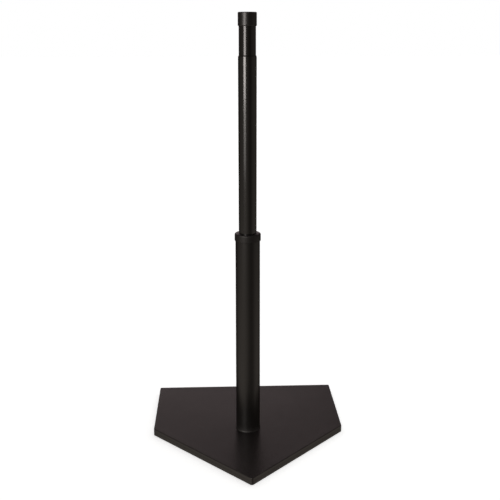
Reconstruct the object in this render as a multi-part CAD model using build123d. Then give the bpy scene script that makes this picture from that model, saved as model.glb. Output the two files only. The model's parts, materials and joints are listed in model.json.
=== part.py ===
from build123d import *
import os
from math import sqrt

# Batting tee: a rubber home plate, a rubber tube bolted upright on it, and two metal tubes that
# telescope out of that tube and carry the rubber rest for the ball. Each metal tube slides up and
# down and also turns, on a split guide ring that sits in a groove at its lower end.
#
# Millimetres, +Z up. The origin is on the ground on the post's axis, at the middle of the plate,
# and the tip of the plate points towards -Y. The post is drawn raised, as it stands in use.

INCH = 25.4

# Base plate, with the outline of an official home plate
plate_width = 17 * INCH
plate_side_length = 8.5 * INCH
plate_tip_depth = 8.5 * INCH
plate_thickness = 16.5
plate_corner_round = 3.0
plate_tip_round = 5.0
plate_edge_round = 1.0

# Heights above the ground
collar_top = 478.0
middle_tube_top = 846.5
rest_bottom = 903.0
rest_top = 930.0

# How far the middle tube can rise from the height it is drawn at before its sleeve meets the bush
middle_travel_up = 12.0
stop_gap = 0.5

# Lower tube: moulded rubber with a draft, so it is a little thicker at its foot
lower_bore = 42.4
lower_top_diameter = 52.4
lower_foot_diameter = 53.8
foot_flare_diameter = 56.4
foot_flare_height = 3.2
foot_flare_edge = 0.8
foot_flare_round = 0.4

# Collar over the lower tube's mouth, and the bush under it
collar_diameter = 56.2
collar_height = 17.0
collar_lip_thickness = 5.0
collar_outer_round = 3.4
collar_bottom_round = 1.0
collar_crest_diameter = 41.0
collar_shoulder_drop = 1.4
collar_lip_dip = 0.3
bush_flange_diameter = 49.0
bush_flange_thickness = 2.0
bush_lip_chamfer = 0.8

# Metal tubes: the 1 1/2 in tube has a bore that the 1 3/8 in tube runs in
middle_diameter = 1.5 * INCH
top_diameter = 1.375 * INCH
top_wall = 1.5
middle_length = 436.0
top_length = 262.0
top_end_round = 0.5
middle_taper_width = 1.2
middle_taper_height = 2.6

# Fits
running_clearance = 0.05
tube_clearance = 0.10
free_clearance = 0.30

# Split guide rings
guide_height = 12.0
guide_wall = 1.2
guide_gap = 2.0

# Sleeve on the lower end of the middle tube
sleeve_length = 34.0
sleeve_lip = 2.0
sleeve_groove_bottom = 11.0
sleeve_chamfer = 0.6

# Plug in the lower end of the top tube
end_plug_spigot = 15.0
end_plug_body = 20.0
end_plug_bore = 20.0
end_plug_groove_bottom = 4.0
end_plug_chamfer = 0.8

# Ball rest: a rubber ring pushed over the top tube, with a seat of the ball's own radius
rest_diameter = 38.3
rest_mouth = 31.0
rest_socket_depth = 19.0
rest_top_round = 2.0
rest_bottom_round = 1.2
rest_seat_diameter = 34.0
ball_diameter = 74.0

# Foot plug, which holds the lower tube's foot from inside
foot_plug_height = 20.0
foot_plug_spigot_diameter = 30.0
foot_plug_spigot_length = 3.0
foot_plug_nut_height = 7.5
foot_plug_chamfer = 1.5

# 3/8 in bolt, washer and lock nut
bolt_diameter = 3 / 8 * INCH
bolt_hole = 10.5
hex_across_flats = 9 / 16 * INCH
bolt_head_height = 6.0
nut_hex_height = 8.3
nut_collar_height = 2.9
nut_collar_diameter = 13.8
nut_insert_diameter = 12.2
nut_insert_height = 2.3
bolt_end_over_nut = 1.0
bolt_end_chamfer = 1.0
washer_diameter = 1.5 * INCH
washer_thickness = 1.6
counterbore_diameter = 42.0
counterbore_depth = 8.4
hex_corner_cut = 0.6

# Worked out from the above
lower_tube_top = collar_top - collar_lip_thickness - bush_flange_thickness
collar_bottom = collar_top - collar_height
middle_bore = top_diameter + 2 * tube_clearance
middle_bottom = middle_tube_top - middle_length
sleeve_bottom = middle_bottom - sleeve_lip
sleeve_top = sleeve_bottom + sleeve_length
bush_bottom = sleeve_top + middle_travel_up + stop_gap
top_tube_top = rest_bottom + rest_socket_depth
top_tube_bottom = top_tube_top - top_length
foot_plug_top = plate_thickness + foot_plug_height
nut_bottom = plate_thickness + foot_plug_nut_height
nut_hex_top = nut_bottom + nut_hex_height
nut_top = nut_hex_top + nut_collar_height
nut_insert_bottom = nut_top - nut_insert_height
grip_bore = middle_diameter + 2 * running_clearance


def turned(*points):
    """A solid of revolution about Z, from a closed outline of (radius, height) points."""
    outline = Polyline(*[(radius, height) for radius, height in points], close=True)
    return revolve(Plane.XZ * make_face(outline.edges()), Axis.Z)


def tube(outer, inner, bottom, top):
    """A plain tube on the Z axis, given by its diameters and its two ends."""
    return turned((inner / 2, bottom), (outer / 2, bottom), (outer / 2, top), (inner / 2, top))


def rod(diameter, bottom, top):
    """A plain round bar on the Z axis."""
    standing = (Align.CENTER, Align.CENTER, Align.MIN)
    return Pos(0, 0, bottom) * Cylinder(diameter / 2, top - bottom, align=standing)


def hexagon_face():
    """The hexagon of the bolt's head and nut, by its distance across flats."""
    return RegularPolygon(hex_across_flats / 2, 6, major_radius=False)


def hexagon(bottom, top):
    """A hexagonal prism of the bolt's size, with its corners cut back to a round chamfer."""
    prism = extrude(Pos(0, 0, bottom) * hexagon_face(), top - bottom)
    corner_diameter = hex_across_flats * 2 / sqrt(3)
    return prism & chamfer(rod(corner_diameter, bottom, top).edges(), hex_corner_cut)


def circles(solid, diameter, height):
    """The circular edges of one diameter at one height."""
    return [
        edge
        for edge in solid.edges().filter_by(GeomType.CIRCLE)
        if abs(2 * edge.radius - diameter) < 0.01 and abs(edge.arc_center.Z - height) < 0.01
    ]


def make_base_plate():
    """Home plate of solid rubber, with a socket for the plug on top and a washer recess below."""
    half_width = plate_width / 2
    tip_cut_back = plate_tip_round * (sqrt(2) - 1)
    back = (plate_side_length + plate_tip_depth - tip_cut_back) / 2
    shoulder = back - plate_side_length
    tip = shoulder - plate_tip_depth
    outline = Polyline(
        (-half_width, back),
        (half_width, back),
        (half_width, shoulder),
        (0, tip),
        (-half_width, shoulder),
        close=True,
    )
    face = make_face(outline.edges())
    face = fillet(face.vertices().sort_by(Axis.Y)[1:], plate_corner_round)
    face = fillet(face.vertices().sort_by(Axis.Y)[:1], plate_tip_round)
    plate = extrude(face, plate_thickness)
    rims = plate.faces().sort_by(Axis.Z)[-1].edges() + plate.faces().sort_by(Axis.Z)[0].edges()
    plate = fillet(rims, plate_edge_round)
    plate -= rod(counterbore_diameter, 0, counterbore_depth)
    plate -= rod(bolt_hole, 0, plate_thickness)
    plate -= rod(foot_plug_spigot_diameter, plate_thickness - foot_plug_spigot_length, plate_thickness)
    return plate


def make_base_washer():
    """Wide steel washer that spreads the bolt's pull over the rubber."""
    return tube(washer_diameter, bolt_hole, counterbore_depth - washer_thickness, counterbore_depth)


def make_base_bolt():
    """Hexagon bolt, up through the plate and the plug into the nut."""
    head_top = counterbore_depth - washer_thickness
    end = nut_top + bolt_end_over_nut
    shank = chamfer(circles(rod(bolt_diameter, head_top, end), bolt_diameter, end), bolt_end_chamfer)
    return hexagon(head_top - bolt_head_height, head_top) + shank


def make_lock_nut():
    """Steel nut in the plug's hexagonal pocket, with a round collar around its nylon insert."""
    nut = hexagon(nut_bottom, nut_hex_top) + rod(nut_collar_diameter, nut_hex_top, nut_top)
    nut -= rod(nut_insert_diameter, nut_insert_bottom, nut_top)
    return nut - rod(bolt_diameter, nut_bottom, nut_top)


def make_nut_insert():
    """Nylon ring in the nut's collar, which keeps the bolt from shaking loose."""
    return tube(nut_insert_diameter, bolt_diameter, nut_insert_bottom, nut_top)


def make_foot_plug():
    """Plug inside the lower tube's foot, with a spigot into the plate and a pocket for the nut."""
    plug = rod(lower_bore, plate_thickness, foot_plug_top)
    plug = chamfer(circles(plug, lower_bore, foot_plug_top), foot_plug_chamfer)
    plug += rod(foot_plug_spigot_diameter, plate_thickness - foot_plug_spigot_length, plate_thickness)
    plug -= rod(bolt_hole, plate_thickness - foot_plug_spigot_length, nut_bottom)
    return plug - extrude(Pos(0, 0, nut_bottom) * hexagon_face(), foot_plug_top - nut_bottom)


def make_lower_tube():
    """Rubber tube whose foot flares a little where it meets the plate."""
    flare_edge_top = plate_thickness + foot_flare_edge
    body = turned(
        (lower_bore / 2, plate_thickness),
        (foot_flare_diameter / 2, plate_thickness),
        (foot_flare_diameter / 2, flare_edge_top),
        (lower_foot_diameter / 2, plate_thickness + foot_flare_height),
        (lower_top_diameter / 2, collar_bottom),
        (lower_top_diameter / 2, lower_tube_top),
        (lower_bore / 2, lower_tube_top),
    )
    return fillet(circles(body, foot_flare_diameter, flare_edge_top), foot_flare_round)


def make_mouth_bush():
    """Plastic bush in the lower tube's mouth, which the middle tube runs in."""
    flange_top = lower_tube_top + bush_flange_thickness
    bush = turned(
        (grip_bore / 2, bush_bottom),
        (lower_bore / 2, bush_bottom),
        (lower_bore / 2, lower_tube_top),
        (bush_flange_diameter / 2, lower_tube_top),
        (bush_flange_diameter / 2, flange_top),
        (grip_bore / 2, flange_top),
    )
    return chamfer(circles(bush, grip_bore, bush_bottom), bush_lip_chamfer)


def make_grip_collar():
    """Rubber collar over the tube's mouth; its lip grips the middle tube and holds its height."""
    lip_bottom = collar_top - collar_lip_thickness
    recess_radius = bush_flange_diameter / 2 + running_clearance
    shoulder_top = collar_top - collar_shoulder_drop
    collar = turned(
        (lower_top_diameter / 2, collar_bottom),
        (collar_diameter / 2, collar_bottom),
        (collar_diameter / 2, shoulder_top),
        (collar_crest_diameter / 2, collar_top),
        (grip_bore / 2, collar_top - collar_lip_dip),
        (grip_bore / 2, lip_bottom),
        (recess_radius, lip_bottom),
        (recess_radius, lower_tube_top),
        (lower_top_diameter / 2, lower_tube_top),
    )
    collar = fillet(circles(collar, collar_diameter, shoulder_top), collar_outer_round)
    return fillet(circles(collar, collar_diameter, collar_bottom), collar_bottom_round)


def make_guide_ring(outer, bottom, side):
    """Split ring with its gap on one side of the post (+1 for +Y, -1 for -Y)."""
    ring = tube(outer, outer - 2 * guide_wall, bottom, bottom + guide_height)
    gap = Pos(0, side * outer / 2, bottom + guide_height / 2) * Box(guide_gap, outer / 2, guide_height)
    return ring - gap


def make_middle_tube():
    """1 1/2 in metal tube, the stage that slides in the lower tube; its upper end is tapered."""
    return turned(
        (middle_bore / 2, middle_bottom),
        (middle_diameter / 2, middle_bottom),
        (middle_diameter / 2, middle_tube_top - middle_taper_height),
        (middle_diameter / 2 - middle_taper_width, middle_tube_top),
        (middle_bore / 2, middle_tube_top),
    )


def make_middle_sleeve():
    """Plastic sleeve on the middle tube's lower end, with the groove for the guide ring."""
    outer = lower_bore - 2 * free_clearance
    groove = lower_bore - 2 * (running_clearance + guide_wall + running_clearance)
    groove_bottom = sleeve_bottom + sleeve_groove_bottom
    groove_top = groove_bottom + guide_height + 2 * free_clearance
    sleeve = turned(
        (middle_bore / 2, sleeve_bottom),
        (outer / 2, sleeve_bottom),
        (outer / 2, groove_bottom),
        (groove / 2, groove_bottom),
        (groove / 2, groove_top),
        (outer / 2, groove_top),
        (outer / 2, sleeve_top),
        (middle_diameter / 2, sleeve_top),
        (middle_diameter / 2, middle_bottom),
        (middle_bore / 2, middle_bottom),
    )
    ends = circles(sleeve, outer, sleeve_bottom) + circles(sleeve, outer, sleeve_top)
    return chamfer(ends, sleeve_chamfer)


def make_top_tube():
    """1 3/8 in metal tube, the stage that slides in the middle tube."""
    pipe = tube(top_diameter, top_diameter - 2 * top_wall, top_tube_bottom, top_tube_top)
    return fillet(circles(pipe, top_diameter, top_tube_top), top_end_round)


def make_top_end_plug():
    """Plastic plug in the top tube's lower end, with the groove for the guide ring."""
    outer = middle_bore - 2 * free_clearance
    groove = middle_bore - 2 * (running_clearance + guide_wall + running_clearance)
    bottom = top_tube_bottom - end_plug_body
    groove_bottom = bottom + end_plug_groove_bottom
    groove_top = groove_bottom + guide_height + 2 * free_clearance
    spigot = top_diameter - 2 * top_wall
    plug = turned(
        (end_plug_bore / 2, bottom),
        (outer / 2, bottom),
        (outer / 2, groove_bottom),
        (groove / 2, groove_bottom),
        (groove / 2, groove_top),
        (outer / 2, groove_top),
        (outer / 2, top_tube_bottom),
        (spigot / 2, top_tube_bottom),
        (spigot / 2, top_tube_bottom + end_plug_spigot),
        (end_plug_bore / 2, top_tube_bottom + end_plug_spigot),
    )
    ends = circles(plug, outer, bottom) + circles(plug, spigot, top_tube_bottom + end_plug_spigot)
    return chamfer(ends, end_plug_chamfer)


def make_ball_rest():
    """Rubber ring over the top tube's end, with an inner lip and a shallow spherical seat."""
    ring = turned(
        (top_diameter / 2, rest_bottom),
        (rest_diameter / 2, rest_bottom),
        (rest_diameter / 2, rest_top),
        (rest_mouth / 2, rest_top),
        (rest_mouth / 2, top_tube_top),
        (top_diameter / 2, top_tube_top),
    )
    ring = fillet(circles(ring, rest_diameter, rest_top), rest_top_round)
    ring = fillet(circles(ring, rest_diameter, rest_bottom), rest_bottom_round)
    ball_centre = rest_top + sqrt(ball_diameter**2 - rest_seat_diameter**2) / 2
    return ring - Pos(0, 0, ball_centre) * Sphere(ball_diameter / 2)


nodes = {
    "base_plate": make_base_plate(),
    "base_washer": make_base_washer(),
    "base_bolt": make_base_bolt(),
    "lock_nut": make_lock_nut(),
    "nut_insert": make_nut_insert(),
    "foot_plug": make_foot_plug(),
    "lower_tube": make_lower_tube(),
    "mouth_bush": make_mouth_bush(),
    "grip_collar": make_grip_collar(),
    "middle_guide_ring": make_guide_ring(
        lower_bore - 2 * running_clearance, sleeve_bottom + sleeve_groove_bottom + free_clearance, 1
    ),
    "middle_sleeve": make_middle_sleeve(),
    "middle_tube": make_middle_tube(),
    "top_guide_ring": make_guide_ring(
        middle_bore - 2 * running_clearance,
        top_tube_bottom - end_plug_body + end_plug_groove_bottom + free_clearance,
        -1,
    ),
    "top_end_plug": make_top_end_plug(),
    "top_tube": make_top_tube(),
    "ball_rest": make_ball_rest(),
}

os.makedirs("parts", exist_ok=True)
for name, shape in nodes.items():
    export_step(shape, f"parts/{name}.step")
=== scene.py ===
import json
import math

import bpy
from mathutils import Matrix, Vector, noise


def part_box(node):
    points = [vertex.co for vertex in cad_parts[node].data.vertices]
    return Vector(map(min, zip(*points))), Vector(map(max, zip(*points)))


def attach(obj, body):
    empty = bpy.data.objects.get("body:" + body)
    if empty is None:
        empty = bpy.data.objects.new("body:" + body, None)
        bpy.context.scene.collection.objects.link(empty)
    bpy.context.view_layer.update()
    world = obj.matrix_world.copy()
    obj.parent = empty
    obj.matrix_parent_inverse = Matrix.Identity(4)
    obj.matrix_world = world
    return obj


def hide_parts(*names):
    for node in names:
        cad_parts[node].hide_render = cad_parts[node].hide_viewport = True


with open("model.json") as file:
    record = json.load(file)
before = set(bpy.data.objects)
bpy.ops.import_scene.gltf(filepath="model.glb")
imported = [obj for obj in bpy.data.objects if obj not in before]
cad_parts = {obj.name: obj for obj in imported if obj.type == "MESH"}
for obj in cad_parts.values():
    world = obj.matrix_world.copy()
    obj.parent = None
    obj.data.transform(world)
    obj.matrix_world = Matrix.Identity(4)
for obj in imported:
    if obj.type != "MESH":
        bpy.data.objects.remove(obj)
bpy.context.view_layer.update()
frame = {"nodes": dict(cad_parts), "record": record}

# A batting tee. Each outer piece is a new mesh, made to the size of its CAD box. The pieces inside the
# tubes and under the plate keep their CAD meshes, and get detailed materials.
# Lengths are in metres, angles in degrees, and colours in linear RGB.
MM = 0.001
SHARP_ANGLE = 50

# ---------------------------------------------------------------- shapes that the boxes don't tell
# Plate: its roundings and the level margin along its rim
PLATE_CORNER = 3.0 * MM
PLATE_TIP = 5.0 * MM
PLATE_EDGE = 1.1 * MM
PLATE_EDGE_ANGLES = (0, 22.5, 45, 67.5, 90)
PLATE_MARGIN = 1.4 * MM

# Plate: the slight dips of its top, a slice through smooth noise. Crowding under 1 packs the rings of
# its mesh closer together towards the rim.
DIP_DEPTH = 0.18 * MM
DIP_SIZE = 90 * MM
DIP_SLICE = 300 * MM
RING_CROWDING = 0.8

# Plate: the parting line round its side, and the flat strip that keeps each rounding's shading to itself
PARTING_RIDGE = 0.25 * MM
PARTING_HALF_WIDTH = 0.5 * MM
EDGE_SUPPORT = 0.5 * MM

# Plate: the holes for the bolt, the plug's spigot and the washer
BOLT_HOLE = 5.25 * MM
SPIGOT_HOLE = 15.0 * MM
RECESS = 21.0 * MM

# Lower tube: it narrows a little from its foot to its mouth, and is uneven beyond the outside radius
LOWER_BORE = 21.2 * MM
LOWER_FOOT = 26.9 * MM
LOWER_MOUTH = 26.2 * MM
LOWER_OUTSIDE = 22.2 * MM
LOWER_UNEVEN = 0.08 * MM
LOWER_UNEVEN_LENGTH = 80 * MM
SEAM_RIDGE = 0.18 * MM
SEAM_WIDTH = 0.5 * MM

# Lower tube: the flare of its foot, an upright edge and a slope that meets the tube in a small fillet
FLARE_HEIGHT = 3.2 * MM
FLARE_EDGE = 0.8 * MM
FLARE_ROUND = 0.4 * MM
FLARE_SLOPE_IN = 0.3 * MM
FLARE_SLOPE_UP = 0.5 * MM
FLARE_FILLET_OUT = 0.15 * MM
FLARE_FILLET_UP = 0.5 * MM

# Collar: a domed top, highest next to the middle tube, and a lip that grips that tube
COLLAR_CREST = 20.5 * MM
COLLAR_DROP = 1.4 * MM
COLLAR_ROUND = 3.4 * MM
COLLAR_DOME_IN = 3.6 * MM
COLLAR_GRIP = 19.1 * MM
COLLAR_LIP = 5.0 * MM
COLLAR_LIP_WIDTH = 0.6 * MM
COLLAR_LIP_EDGE = 0.05 * MM
COLLAR_LIP_DIP = 0.3 * MM
COLLAR_BOTTOM_ROUND = 1.0 * MM
COLLAR_GAP = 0.02 * MM

# Collar: the uneven skirt at its lower edge, a circle through smooth noise
SKIRT_HEIGHT = 4.0 * MM
SKIRT_UNEVEN = 0.12 * MM
SKIRT_WAVES = 2.0
SKIRT_SLICE = 0.7

# Metal tubes: their bores and their ends
MIDDLE_BORE = 17.5625 * MM
TOP_BORE = 15.9625 * MM
PIPE_CHAMFER = 0.2 * MM
PIPE_LOWER_END = 1.0 * MM
PIPE_UPPER_END = 4.0 * MM
TAPER_WIDTH = 1.2 * MM
TAPER_HEIGHT = 2.6 * MM
TAPER_SOFT = 0.5 * MM
TUBE_END = 0.5 * MM

# Ball rest: a round wall with a spherical seat for the ball in its top
REST_WALL_SEAT = 17.0 * MM
REST_MOUTH = 15.5 * MM
REST_TOP_ROUND = 2.0 * MM
REST_BOTTOM_ROUND = 1.6 * MM
REST_WALL_START = 2.0 * MM
BALL_RADIUS = 37.0 * MM

# ---------------------------------------------------------------- colours and wear
PLATE_COLOUR = (0.0135, 0.0108, 0.0104)
LOWER_COLOUR = (0.0105, 0.0085, 0.0079)
COLLAR_COLOUR = (0.0125, 0.0102, 0.0097)
REST_COLOUR = (0.0135, 0.0118, 0.0107)
MIDDLE_COLOUR = (0.0105, 0.0090, 0.0075)
TOP_COLOUR = (0.0090, 0.0078, 0.0067)
PLASTIC_COLOUR = (0.02, 0.02, 0.02)
NYLON_COLOUR = (0.70, 0.68, 0.62)
ZINC_COLOUR = (0.56, 0.56, 0.54)

# Where a noise's low and high values lie, for turning it into a mild drift from one value to another
NOISE_LOW = 0.3
NOISE_HIGH = 0.7

# Wear on the rounded edges of rubber: how many times paler, and how much rougher
WEAR_PALER = 1.9
WEAR_ROUGHER = 0.14

# Dust on the lower tube: the height where it starts, the height where it is full, and its roughness
DUSTY_FOOT = (120 * MM, 30 * MM, 0.5)

# Polish on the collar's dome: where it starts and is full, above the shoulder, and its roughness
POLISH_START = -0.2 * MM
POLISH_FULL = 0.4 * MM
POLISH_ROUGHNESS = 0.34

# ---------------------------------------------------------------- the studio
FLOOR_HALF = 30.0
FLOOR_COLOUR = (0.9, 0.9, 0.9)
FLOOR_GLOW = 0.63

# The dim room round the tee. A wall is its azimuth, the angles from there at which its glow starts and
# is full, and its strength. The floor and the ceiling are the upness at which each starts and is full,
# and how many times as bright as the walls it is.
ROOM_TINT = (1.0, 0.89, 0.78)
ROOM_BASE = 0.03
FRONT_WALL = (-80, 120, 50, 0.047)
LEFT_WALL = (-145, 80, 20, 0.188)
RIGHT_WALL = (-2, 50, 15, 0.127)
ROOM_FLOOR = (-0.14, -0.60, 3.8)
ROOM_CEILING = (0.25, 0.8, 0.5)

KEY_TINT = (1.0, 0.94, 0.90)
BACK_TINT = (1.0, 0.80, 0.82)
BACK_LOW_TINT = (1.0, 0.84, 0.85)

CAMERA_PLACE = (-0.0590, -1.6118, 0.8889)
CAMERA_PITCH = 15.585
CAMERA_HEADING = 2.288
CAMERA_ROLL = 0.064
CAMERA_LENS = 55.92
CAMERA_SENSOR = 36.0


# ---------------------------------------------------------------- mesh helpers
def piece(name, vertices, faces, body, *nodes):
    """A mesh that rides on a body and stands for CAD nodes, shaded smooth except over sharp edges."""
    mesh = bpy.data.meshes.new(name)
    mesh.from_pydata(vertices, [], faces)
    mesh.validate()
    mesh.polygons.foreach_set("use_smooth", [True] * len(mesh.polygons))
    mesh.set_sharp_from_angle(angle=math.radians(SHARP_ANGLE))
    obj = bpy.data.objects.new(name, mesh)
    bpy.context.scene.collection.objects.link(obj)
    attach(obj, body)
    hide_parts(*nodes)
    return obj


def skin(rings):
    """Vertices and quads through a closed series of closed rings, each a list of points."""
    count = len(rings[0])
    vertices = [point for ring in rings for point in ring]
    faces = []
    for r in range(len(rings)):
        below, above = r * count, (r + 1) % len(rings) * count
        for k in range(count):
            after = (k + 1) % count
            faces.append((below + k, below + after, above + after, above + k))
    return vertices, faces


def arc(centre, radius, start, end, steps=5):
    """Points of an arc in the (radius, height) plane, from one angle to another."""
    points = []
    for k in range(steps + 1):
        angle = math.radians(start + (end - start) * k / steps)
        points.append((centre[0] + radius * math.cos(angle), centre[1] + radius * math.sin(angle)))
    return points


def stretch(start, end, steps):
    """Evenly spaced (radius, height) points from start to end, without the end."""
    return [
        (start[0] + (end[0] - start[0]) * k / steps, start[1] + (end[1] - start[1]) * k / steps)
        for k in range(steps)
    ]


def turned(profile, segments, shift=None):
    """Rings about the Z axis from a closed profile; shift(radius, height, angle) gives a radial change."""
    rings = []
    for radius, height in profile:
        ring = []
        for k in range(segments):
            angle = 2 * math.pi * k / segments
            r = radius + (shift(radius, height, angle) if shift else 0.0)
            ring.append((r * math.cos(angle), r * math.sin(angle), height))
        rings.append(ring)
    return rings


def wave(x, y, z, scale=1.0):
    """Smooth noise between about -1 and 1, with features of the given size."""
    return noise.noise(Vector((x, y, z)) / scale)


# ---------------------------------------------------------------- the plate
def plate_corners(low, high):
    """The home plate's corners and their roundings. The tip is square, and its rounding cuts it back."""
    tip = low.y - PLATE_TIP * (math.sqrt(2) - 1)
    shoulder = (tip + high.y) / 2
    return [
        ((0, tip), PLATE_TIP),
        ((high.x, shoulder), PLATE_CORNER),
        ((high.x, high.y), PLATE_CORNER),
        ((low.x, high.y), PLATE_CORNER),
        ((low.x, shoulder), PLATE_CORNER),
    ]


def plate_outline(corners, inset, straight_steps=26, corner_steps=6):
    """Points round the rounded outline, moved in by inset. corners are (point, rounding), anticlockwise."""
    arcs = []
    for k, (point, rounding) in enumerate(corners):
        before = Vector(corners[k - 1][0])
        after = Vector(corners[(k + 1) % len(corners)][0])
        here = Vector(point)
        along_in, along_out = (here - before).normalized(), (after - here).normalized()
        normal_in, normal_out = Vector((along_in.y, -along_in.x)), Vector((along_out.y, -along_out.x))
        centre = here - (normal_in + normal_out) * rounding / (1 + normal_in.dot(normal_out))
        turn = normal_in.angle(normal_out)
        points = []
        for s in range(corner_steps + 1):
            share = s / corner_steps
            weight_in = math.sin((1 - share) * turn) / math.sin(turn)
            weight_out = math.sin(share * turn) / math.sin(turn)
            points.append(centre + (normal_in * weight_in + normal_out * weight_out) * (rounding - inset))
        arcs.append(points)
    outline = []
    for k, points in enumerate(arcs):
        outline += points
        start, end = points[-1], arcs[(k + 1) % len(arcs)][0]
        outline += [start.lerp(end, s / straight_steps) for s in range(1, straight_steps)]
    return outline


def build_plate():
    """The slab, with a slightly uneven top, and the holes in it for the bolt, the washer and the spigot."""
    low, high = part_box("base_plate")
    middle = (high.z + low.z) / 2
    washer_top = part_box("base_washer")[1].z
    spigot_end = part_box("foot_plug")[0].z
    corners = plate_corners(low, high)
    rim = plate_outline(corners, PLATE_EDGE + PLATE_MARGIN)

    def web(inner_radius, height, steps, dip_depth):
        """Rings from a circle out to the rim. The dips fade out at both ends."""
        rings = []
        for s in range(steps):
            share = (s / (steps - 1)) ** RING_CROWDING
            fade = min(1.0, 2 * share, 8 * (1 - share))
            ring = []
            for point in rim:
                at = (point.normalized() * inner_radius).lerp(point, share)
                dip = dip_depth * (1 - wave(at.x, at.y, DIP_SLICE, DIP_SIZE)) * fade
                ring.append((at.x, at.y, height - dip))
            rings.append(ring)
        return rings

    def circle(radius, height):
        return [(*(point.normalized() * radius), height) for point in rim]

    def edge(height, inset=0.0):
        return [(point.x, point.y, height) for point in plate_outline(corners, inset)]

    def rounded_edge(face, inwards, angle):
        """The ring on a rounded edge at an angle, from 0 on the flat face to 90 on the side."""
        turn = math.radians(angle)
        height = face + inwards * PLATE_EDGE * (1 - math.cos(turn))
        return edge(height, PLATE_EDGE * (1 - math.sin(turn)))

    rings = web(SPIGOT_HOLE, high.z, 18, DIP_DEPTH)
    rings += [rounded_edge(high.z, -1, angle) for angle in PLATE_EDGE_ANGLES]
    rings.append(edge(high.z - PLATE_EDGE - EDGE_SUPPORT))
    for step in (2, 1, 0, -1, -2):
        rings.append(edge(middle + step * PARTING_HALF_WIDTH, 0.0 if step else -PARTING_RIDGE))
    rings.append(edge(low.z + PLATE_EDGE + EDGE_SUPPORT))
    rings += [rounded_edge(low.z, 1, angle) for angle in reversed(PLATE_EDGE_ANGLES)]
    rings += reversed(web(RECESS, low.z, 10, 0.0))
    rings.append(circle(RECESS, washer_top))
    rings.append(circle(BOLT_HOLE, washer_top))
    rings.append(circle(BOLT_HOLE, spigot_end))
    rings.append(circle(SPIGOT_HOLE, spigot_end))
    vertices, faces = skin(rings)
    return piece("plate_slab", vertices, faces, "base", "base_plate")


# ---------------------------------------------------------------- the post
def build_lower_tube():
    low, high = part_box("lower_tube")
    flare = high.x
    collar_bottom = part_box("grip_collar")[0].z

    def moulding(radius, height, angle):
        """Two thin mould lines down the sides, and a little unevenness, on the outside only."""
        if radius < LOWER_OUTSIDE:
            return 0.0
        uneven = LOWER_UNEVEN * wave(math.cos(angle), math.sin(angle), height / LOWER_UNEVEN_LENGTH)
        if radius >= LOWER_FOOT:
            return uneven
        from_seam = abs(math.remainder(angle, math.pi)) * radius
        return uneven + SEAM_RIDGE * math.exp(-((from_seam / SEAM_WIDTH) ** 2))

    edge_top = low.z + FLARE_EDGE
    flare_top = low.z + FLARE_HEIGHT
    slope_start = (flare - FLARE_SLOPE_IN, edge_top + FLARE_SLOPE_UP)
    slope_end = (LOWER_FOOT + FLARE_FILLET_OUT, flare_top)
    wall_start = (LOWER_FOOT, flare_top + FLARE_FILLET_UP)

    profile = stretch((LOWER_BORE, low.z), (flare, low.z), 5)
    profile += stretch((flare, low.z), (flare, edge_top), 2)
    profile += arc((flare - FLARE_ROUND, edge_top), FLARE_ROUND, 0, 50, 4)
    profile += stretch(slope_start, slope_end, 5)
    profile += stretch(wall_start, (LOWER_MOUTH, collar_bottom), 40)
    profile += [(LOWER_MOUTH, collar_bottom), (LOWER_MOUTH, high.z)]
    profile += stretch((LOWER_BORE, high.z), (LOWER_BORE, low.z), 30)
    vertices, faces = skin(turned(profile, 180, moulding))
    return piece("lower_tube_skin", vertices, faces, "base", "lower_tube")


def build_collar():
    low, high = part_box("grip_collar")
    outer = high.x
    inner = LOWER_MOUTH + COLLAR_GAP

    def trimming(radius, height, angle):
        """The skirt stands off unevenly at its lower edge."""
        if radius <= inner or height > low.z + SKIRT_HEIGHT:
            return 0.0
        return SKIRT_UNEVEN * wave(math.cos(angle) * SKIRT_WAVES, math.sin(angle) * SKIRT_WAVES, SKIRT_SLICE)

    shoulder = high.z - COLLAR_DROP
    slope = math.atan2(COLLAR_DROP, outer - COLLAR_CREST)
    wall_top = shoulder - COLLAR_ROUND * math.tan((math.pi / 2 - slope) / 2)
    wall_bottom = low.z + COLLAR_BOTTOM_ROUND + EDGE_SUPPORT
    bottom_centre = (outer - COLLAR_BOTTOM_ROUND, low.z + COLLAR_BOTTOM_ROUND)
    dome_start = (outer - COLLAR_DOME_IN, shoulder + COLLAR_DOME_IN * math.tan(slope))

    profile = [(inner, low.z)]
    profile += arc(bottom_centre, COLLAR_BOTTOM_ROUND, 270, 360)
    profile += stretch((outer, wall_bottom), (outer, wall_top), 6)
    profile += arc((outer - COLLAR_ROUND, wall_top), COLLAR_ROUND, 0, 90 - math.degrees(slope), 10)
    profile += stretch(dome_start, (COLLAR_CREST, high.z), 4)
    profile += [(COLLAR_CREST, high.z), (COLLAR_GRIP + COLLAR_LIP_WIDTH, high.z - COLLAR_LIP_EDGE)]
    profile += [(COLLAR_GRIP, high.z - COLLAR_LIP_DIP), (COLLAR_GRIP, high.z - COLLAR_LIP)]
    profile += [(inner, high.z - COLLAR_LIP)]
    vertices, faces = skin(turned(profile, 144, trimming))
    return piece("collar_skin", vertices, faces, "base", "grip_collar")


def build_pipe(name, node, body, bore, upper_end):
    """A smooth metal tube; upper_end lists how far in and how far down each point of its upper end is."""
    low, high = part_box(node)
    outer = high.x
    profile = [(bore, low.z), (outer - PIPE_CHAMFER, low.z), (outer, low.z + PIPE_CHAMFER)]
    profile += stretch((outer, low.z + PIPE_LOWER_END), (outer, high.z - PIPE_UPPER_END), 30)
    profile += [(outer - inwards, high.z - down) for inwards, down in upper_end]
    profile += [(bore, high.z)]
    vertices, faces = skin(turned(profile, 128))
    return piece(name, vertices, faces, body, node)


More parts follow.
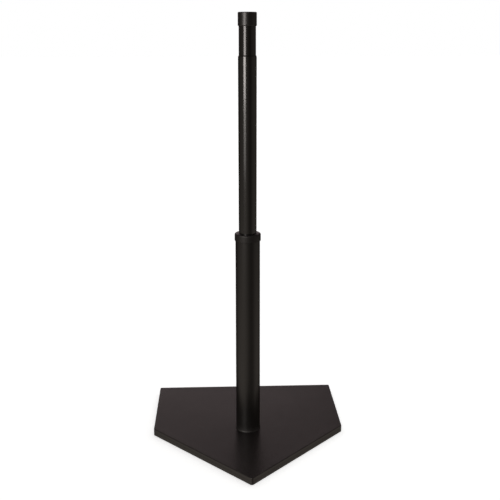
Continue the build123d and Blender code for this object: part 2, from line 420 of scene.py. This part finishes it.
def taper():
    """Upper end of the middle tube: a cone with its two edges softened."""
    width, height, soft = TAPER_WIDTH, TAPER_HEIGHT, TAPER_SOFT
    lower_edge = [(0.0, height + soft), (0.03 * width, height), (0.12 * width, height - 0.6 * soft)]
    upper_edge = [(0.93 * width, 0.12 * height), (width + 0.1 * soft, 0.0)]
    return lower_edge + [(0.5 * width, 0.5 * height)] + upper_edge


def rounding():
    """Upper end of the top tube: a small round edge."""
    return [(TUBE_END - x, TUBE_END - y) for x, y in arc((0, 0), TUBE_END, 0, 90, 5)]


def build_ball_rest():
    low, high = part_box("ball_rest")
    outer = high.x
    tube_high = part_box("top_tube")[1]
    socket, ledge = tube_high.x, tube_high.z
    ball_height = high.z + math.sqrt(BALL_RADIUS**2 - REST_WALL_SEAT**2)
    seat_radii = [REST_WALL_SEAT - k * (REST_WALL_SEAT - REST_MOUTH) / 4 for k in range(5)]
    bottom_centre = (outer - REST_BOTTOM_ROUND, low.z + REST_BOTTOM_ROUND)
    top_centre = (outer - REST_TOP_ROUND, high.z - REST_TOP_ROUND)

    profile = [(socket, low.z)]
    profile += arc(bottom_centre, REST_BOTTOM_ROUND, 270, 360)
    profile += stretch((outer, low.z + REST_WALL_START), (outer, high.z - REST_TOP_ROUND), 8)
    profile += arc(top_centre, REST_TOP_ROUND, 0, 90, 8)
    profile += [(radius, ball_height - math.sqrt(BALL_RADIUS**2 - radius**2)) for radius in seat_radii]
    profile += [(REST_MOUTH, ledge), (socket, ledge)]
    vertices, faces = skin(turned(profile, 128))
    return piece("ball_rest_ring", vertices, faces, "top_stage", "ball_rest")


# ---------------------------------------------------------------- node helpers
def feed(tree, socket, value):
    """Link a node's output to a socket, or set the socket to a plain value."""
    if hasattr(value, "is_output"):
        tree.links.new(value, socket)
    else:
        socket.default_value = value


def combine(tree, operation, *values):
    """The output of a math node over outputs and plain numbers."""
    node = tree.nodes.new("ShaderNodeMath")
    node.operation = operation
    for socket, value in zip(node.inputs, values):
        feed(tree, socket, value)
    return node.outputs[0]


def remap(tree, value, start, end, low, high, interpolation="LINEAR"):
    """low where the value is at start, turning to high where it is at end."""
    node = tree.nodes.new("ShaderNodeMapRange")
    node.interpolation_type = interpolation
    for name, number in (("From Min", start), ("From Max", end), ("To Min", low), ("To Max", high)):
        node.inputs[name].default_value = number
    tree.links.new(value, node.inputs["Value"])
    return node.outputs["Result"]


def split(tree, vector, axis):
    node = tree.nodes.new("ShaderNodeSeparateXYZ")
    tree.links.new(vector, node.inputs[0])
    return node.outputs[axis]


# ---------------------------------------------------------------- materials
def shade(base, factor):
    return tuple(min(1.0, channel * factor) for channel in base)


class Shader:
    """A Principled material being put together, with short calls for the nodes it needs."""

    def __init__(self, name, colour, roughness, **settings):
        self.material = bpy.data.materials.new(name)
        self.material.use_nodes = True
        self.tree = self.material.node_tree
        self.nodes, self.links = self.tree.nodes, self.tree.links
        self.bsdf = self.nodes["Principled BSDF"]
        self.bsdf.inputs["Base Color"].default_value = (*colour, 1)
        self.bsdf.inputs["Roughness"].default_value = roughness
        for key, value in settings.items():
            self.bsdf.inputs[key.replace("_", " ")].default_value = value
        coordinates = self.nodes.new("ShaderNodeTexCoord").outputs
        self.place, self.facing = coordinates["Object"], coordinates["Normal"]

    def noise(self, size, detail=3.0, rough=0.55, squeeze=(1, 1, 1)):
        """Noise with features of the given size, and longer along an axis whose squeeze is under 1."""
        mapping = self.nodes.new("ShaderNodeMapping")
        mapping.inputs["Scale"].default_value = tuple(s / size for s in squeeze)
        self.links.new(self.place, mapping.inputs["Vector"])
        node = self.nodes.new("ShaderNodeTexNoise")
        node.inputs["Scale"].default_value = 1.0
        node.inputs["Detail"].default_value = detail
        node.inputs["Roughness"].default_value = rough
        self.links.new(mapping.outputs["Vector"], node.inputs["Vector"])
        return node.outputs["Fac"]

    def between(self, value, low, high, start=NOISE_LOW, end=NOISE_HIGH):
        return remap(self.tree, value, start, end, low, high)

    def times(self, first, second):
        return combine(self.tree, "MULTIPLY", first, second)

    def plus(self, first, second):
        return combine(self.tree, "ADD", first, second)

    def drift(self, value, colour, darker, paler):
        """The colour, drifting from a darker to a paler shade of it as the value rises."""
        node = self.nodes.new("ShaderNodeValToRGB")
        stops = ((NOISE_LOW, darker), (NOISE_HIGH, paler))
        for element, (position, factor) in zip(node.color_ramp.elements, stops):
            element.position = position
            element.color = (*shade(colour, factor), 1)
        self.links.new(value, node.inputs["Fac"])
        return node.outputs["Color"]

    def edge_mask(self):
        """1 where the surface leans halfway between upright and flat, and 0 on upright and flat faces."""
        upness = combine(self.tree, "ABSOLUTE", split(self.tree, self.facing, "Z"))
        return self.times(self.times(upness, combine(self.tree, "SUBTRACT", 1.0, upness)), 4.0)

    def mix(self, factor, first, second):
        node = self.nodes.new("ShaderNodeMix")
        node.data_type = "RGBA"
        for name, value in (("Factor", factor), ("A", first), ("B", second)):
            feed(self.tree, next(i for i in node.inputs if i.name == name and i.enabled), value)
        return next(o for o in node.outputs if o.enabled)

    def bump(self, height, distance):
        node = self.nodes.new("ShaderNodeBump")
        node.inputs["Distance"].default_value = distance
        self.links.new(height, node.inputs["Height"])
        self.set("Normal", node.outputs["Normal"])

    def set(self, socket, value):
        self.links.new(value, self.bsdf.inputs[socket])


def rubber(name, colour, roughness, cloud=50 * MM, specular=0.5, rubbed=None):
    """Moulded rubber: fine grain, faint cloudy patches, and dull, slightly paler wear on its rounded edges.

    rubbed is two heights and a roughness: from the first height to the second it turns to that roughness.
    """
    s = Shader(name, colour, roughness, Specular_IOR_Level=specular)
    clouds = s.noise(cloud, detail=4)
    grain = s.noise(0.9 * MM, detail=2)
    scuffs = s.between(s.noise(6 * MM, detail=5, rough=0.7), 0.2, 1.0, start=0.35, end=0.65)
    wear = s.times(s.edge_mask(), scuffs)
    s.set("Base Color", s.mix(wear, s.drift(clouds, colour, 0.85, 1.15), (*shade(colour, WEAR_PALER), 1)))
    if rubbed:
        start, end, rubbed_roughness = rubbed
        patchy = s.between(split(s.tree, s.place, "Z"), roughness, rubbed_roughness, start, end)
    else:
        patchy = s.between(clouds, roughness + 0.02, roughness - 0.02)
    speckled = s.plus(patchy, s.between(grain, -0.03, 0.03))
    s.set("Roughness", s.plus(speckled, s.times(wear, WEAR_ROUGHER)))
    s.bump(grain, 0.01 * MM)
    return s.material


def coated_metal(name, colour, roughness, coat):
    """Smooth black coating over drawn tube: faint lengthwise draw lines in its gloss."""
    s = Shader(name, colour, roughness, Coat_Weight=coat, Coat_Roughness=0.12)
    lines = s.noise(1.2 * MM, detail=3, squeeze=(1, 1, 0.01))
    s.set("Base Color", s.drift(s.noise(30 * MM, detail=4), colour, 0.85, 1.15))
    s.set("Roughness", s.between(lines, roughness - 0.02, roughness + 0.03))
    s.bump(s.noise(12 * MM, detail=1), 0.006 * MM)
    return s.material


def plastic(name, colour, roughness):
    """Moulded plastic: a fine even texture and slight colour drift."""
    s = Shader(name, colour, roughness)
    clouds = s.noise(20 * MM, detail=3)
    s.set("Base Color", s.drift(clouds, colour, 0.9, 1.1))
    s.set("Roughness", s.between(clouds, roughness - 0.05, roughness + 0.05))
    s.bump(s.noise(0.4 * MM, detail=1), 0.01 * MM)
    return s.material


def zinc(name, colour, roughness):
    """Zinc plating: a mottled silver grey with some spread of roughness."""
    s = Shader(name, colour, roughness, Metallic=1.0)
    spots = s.noise(3 * MM, detail=5, rough=0.7)
    s.set("Base Color", s.drift(spots, colour, 0.8, 1.15))
    s.set("Roughness", s.between(spots, roughness - 0.1, roughness + 0.1))
    s.bump(s.noise(0.8 * MM, detail=3), 0.01 * MM)
    return s.material


def dress(obj, material):
    obj.data.materials.clear()
    obj.data.materials.append(material)


# ---------------------------------------------------------------- put it together
plate = build_plate()
lower = build_lower_tube()
collar = build_collar()
middle = build_pipe("middle_pipe", "middle_tube", "middle_stage", MIDDLE_BORE, taper())
top = build_pipe("top_pipe", "top_tube", "top_stage", TOP_BORE, rounding())
rest = build_ball_rest()

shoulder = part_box("grip_collar")[1].z - COLLAR_DROP
dome = {
    "cloud": 12 * MM,
    "specular": 0.38,
    "rubbed": (shoulder + POLISH_START, shoulder + POLISH_FULL, POLISH_ROUGHNESS),
}
dress(plate, rubber("plate_rubber", PLATE_COLOUR, 0.31))
dress(lower, rubber("tube_rubber", LOWER_COLOUR, 0.31, rubbed=DUSTY_FOOT))
dress(collar, rubber("collar_rubber", COLLAR_COLOUR, 0.48, **dome))
dress(rest, rubber("rest_rubber", REST_COLOUR, 0.36, cloud=12 * MM))
dress(middle, coated_metal("middle_coating", MIDDLE_COLOUR, 0.20, coat=0.5))
dress(top, coated_metal("top_coating", TOP_COLOUR, 0.20, coat=0.2))

finishes = {
    "black_plastic": plastic("black_plastic", PLASTIC_COLOUR, 0.45),
    "nylon": plastic("natural_nylon", NYLON_COLOUR, 0.38),
    "zinc_steel": zinc("zinc_plate", ZINC_COLOUR, 0.34),
}
for part in frame["record"]["subparts"]:
    if part["material_slot"] in finishes:
        dress(frame["nodes"][part["node"]], finishes[part["material_slot"]])


# ---------------------------------------------------------------- floor, light and camera
def build_floor():
    """A wide white sheet that glows a little, so that it stays white out to the horizon.

    From below it is clear, so that the underside of the plate can be seen.
    """
    mesh = bpy.data.meshes.new("floor")
    corners = [(x * FLOOR_HALF, y * FLOOR_HALF, 0) for x, y in ((-1, -1), (1, -1), (1, 1), (-1, 1))]
    mesh.from_pydata(corners, [], [(0, 1, 2, 3)])
    floor = bpy.data.objects.new("floor", mesh)
    bpy.context.scene.collection.objects.link(floor)
    glow = {"Emission_Color": (1, 1, 1, 1), "Emission_Strength": FLOOR_GLOW}
    s = Shader("floor_paint", FLOOR_COLOUR, 0.9, Specular_IOR_Level=0.0, **glow)
    clear = s.nodes.new("ShaderNodeBsdfTransparent").outputs[0]
    one_sided = s.nodes.new("ShaderNodeMixShader")
    s.links.new(s.nodes.new("ShaderNodeNewGeometry").outputs["Backfacing"], one_sided.inputs[0])
    s.links.new(s.bsdf.outputs[0], one_sided.inputs[1])
    s.links.new(clear, one_sided.inputs[2])
    s.links.new(one_sided.outputs[0], s.nodes["Material Output"].inputs["Surface"])
    mesh.materials.append(s.material)
    floor.visible_glossy = False
    floor.visible_diffuse = False


def add_light(name, light, position, target):
    obj = bpy.data.objects.new(name, light)
    obj.location = position
    obj.rotation_euler = (Vector(target) - Vector(position)).to_track_quat("-Z", "Y").to_euler()
    obj.visible_camera = False
    bpy.context.scene.collection.objects.link(obj)
    return obj


def panel(name, position, target, size, brightness, colour):
    """A rectangular soft light that faces the target, with the brightness of its face.

    It shows only in gloss; the sky and the room light the rest.
    """
    width, height = size
    light = bpy.data.lights.new(name, "AREA")
    light.shape = "RECTANGLE"
    light.size, light.size_y = width, height
    light.energy = brightness * math.pi * width * height
    light.color = colour
    add_light(name, light, position, target).visible_diffuse = False


def sky(name, position, target, strength, spread):
    """A very wide, soft light from behind, the same everywhere on the floor, that gloss doesn't show."""
    light = bpy.data.lights.new(name, "SUN")
    light.energy = strength
    light.angle = math.radians(spread)
    add_light(name, light, position, target).visible_glossy = False


def build_world():
    """White to the camera; to everything else a dim room, brighter at its sides and on its floor."""
    world = bpy.data.worlds.new("studio")
    world.use_nodes = True
    bpy.context.scene.world = world
    tree = world.node_tree
    nodes, links = tree.nodes, tree.links
    direction = nodes.new("ShaderNodeTexCoord").outputs["Generated"]
    upness = split(tree, direction, "Z")

    def glow(azimuth, start, end, strength):
        """A soft patch of wall round one azimuth, from the angle where it starts to where it is full."""
        dot = nodes.new("ShaderNodeVectorMath")
        dot.operation = "DOT_PRODUCT"
        links.new(direction, dot.inputs[0])
        angle = math.radians(azimuth)
        dot.inputs[1].default_value = (math.cos(angle), math.sin(angle), 0)
        edges = (math.cos(math.radians(start)), math.cos(math.radians(end)))
        return remap(tree, dot.outputs["Value"], *edges, 0.0, strength, "SMOOTHSTEP")

    def level(start, end, factor):
        """1 at the height of the walls, turning to the factor on the floor or the ceiling."""
        return remap(tree, upness, start, end, 1.0, factor, "SMOOTHSTEP")

    strength = combine(tree, "ADD", glow(*LEFT_WALL), glow(*RIGHT_WALL))
    for more in (glow(*FRONT_WALL), ROOM_BASE):
        strength = combine(tree, "ADD", strength, more)
    for factor in (level(*ROOM_FLOOR), level(*ROOM_CEILING)):
        strength = combine(tree, "MULTIPLY", strength, factor)
    room = nodes["Background"]
    room.inputs["Color"].default_value = (*ROOM_TINT, 1)
    links.new(strength, room.inputs["Strength"])
    white = nodes.new("ShaderNodeBackground")
    white.inputs["Color"].default_value = (1, 1, 1, 1)
    white.inputs["Strength"].default_value = 1.0
    mix = nodes.new("ShaderNodeMixShader")
    links.new(nodes.new("ShaderNodeLightPath").outputs["Is Camera Ray"], mix.inputs[0])
    links.new(room.outputs[0], mix.inputs[1])
    links.new(white.outputs[0], mix.inputs[2])
    links.new(mix.outputs[0], nodes["World Output"].inputs["Surface"])


def build_camera():
    camera = bpy.data.cameras.new("camera")
    camera.lens = CAMERA_LENS
    camera.sensor_width = CAMERA_SENSOR
    obj = bpy.data.objects.new("camera", camera)
    obj.location = CAMERA_PLACE
    tilt = math.radians(90 - CAMERA_PITCH)
    obj.rotation_euler = (tilt, math.radians(CAMERA_ROLL), -math.radians(CAMERA_HEADING))
    bpy.context.scene.collection.objects.link(obj)
    bpy.context.scene.camera = obj


build_floor()
build_world()
build_camera()
sky("sky", position=(0.6, 1.5, 3.0), target=(0, 0, 0), strength=1.45, spread=110)
panel(
    "key_strip",
    position=(-1.07, -1.45, 1.315),
    target=(0, 0, 0.9),
    size=(0.84, 1.47),
    brightness=8.4,
    colour=KEY_TINT,
)
panel(
    "key_lower",
    position=(-1.07, -1.45, 0.445),
    target=(0, 0, 0.43),
    size=(0.84, 0.27),
    brightness=1.5,
    colour=KEY_TINT,
)
panel(
    "back_panel",
    position=(0.0, 2.5, 1.5),
    target=(0, 0, 0.1),
    size=(3.4, 1.5),
    brightness=0.23,
    colour=BACK_TINT,
)
panel(
    "back_low",
    position=(-1.1, 8.0, 2.1),
    target=(0, 0, 0.5),
    size=(4.8, 1.5),
    brightness=0.9,
    colour=BACK_LOW_TINT,
)
bpy.context.scene.view_settings.view_transform = "Standard"
